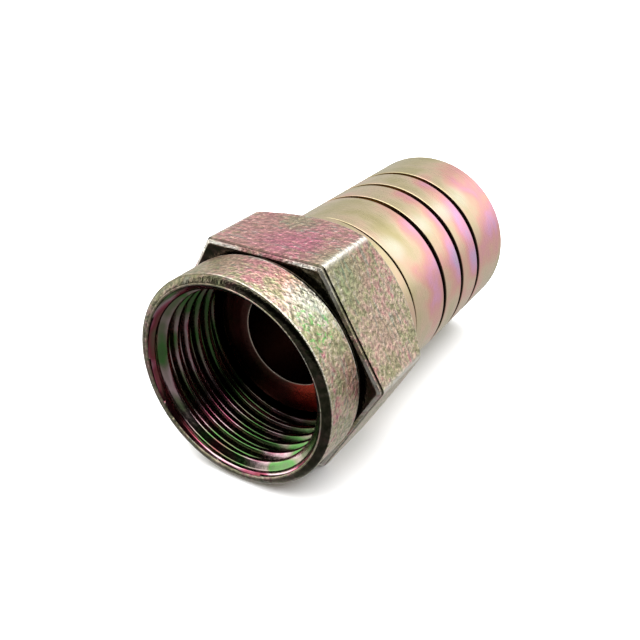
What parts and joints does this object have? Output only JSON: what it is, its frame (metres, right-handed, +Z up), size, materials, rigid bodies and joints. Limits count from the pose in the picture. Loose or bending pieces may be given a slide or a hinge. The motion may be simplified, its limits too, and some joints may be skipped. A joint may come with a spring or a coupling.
{
  "type": "f connector",
  "caption": "Crimp-type male coaxial connector: free-spinning threaded hex nut on a hollow post with a grooved crimp sleeve behind it.",
  "frame": {"origin": "on the axis, in the plane of the post's front face, where the mating port seats (the connector's reference plane)", "axes": "+Y along the axis from the mouth towards the cable end; +Z up, square to the nut flat that faces up while the opposite flat lies on the surface; +X to the right seen from the mouth side"},
  "size_m": [0.0126, 0.0208, 0.011],
  "materials": {
    "nut_plating": "tumbled, yellow iridescent zinc plating with green and magenta patches",
    "post_plating": "turned, yellow iridescent zinc plating",
    "sleeve_plating": "fine turned, khaki iridescent zinc plating with pink and lilac patches"
  },
  "bodies": {
    "ferrule": {"post": "post_plating", "crimp_sleeve": "sleeve_plating"},
    "nut": {"coupling_nut": "nut_plating"}
  },
  "joints": [
    {"name": "nut_spin", "type": "hinge", "parent": "ferrule", "child": "nut", "pos_m": [0, 0, 0], "axis": [0, 1, 0], "continuous": true}
  ]
}
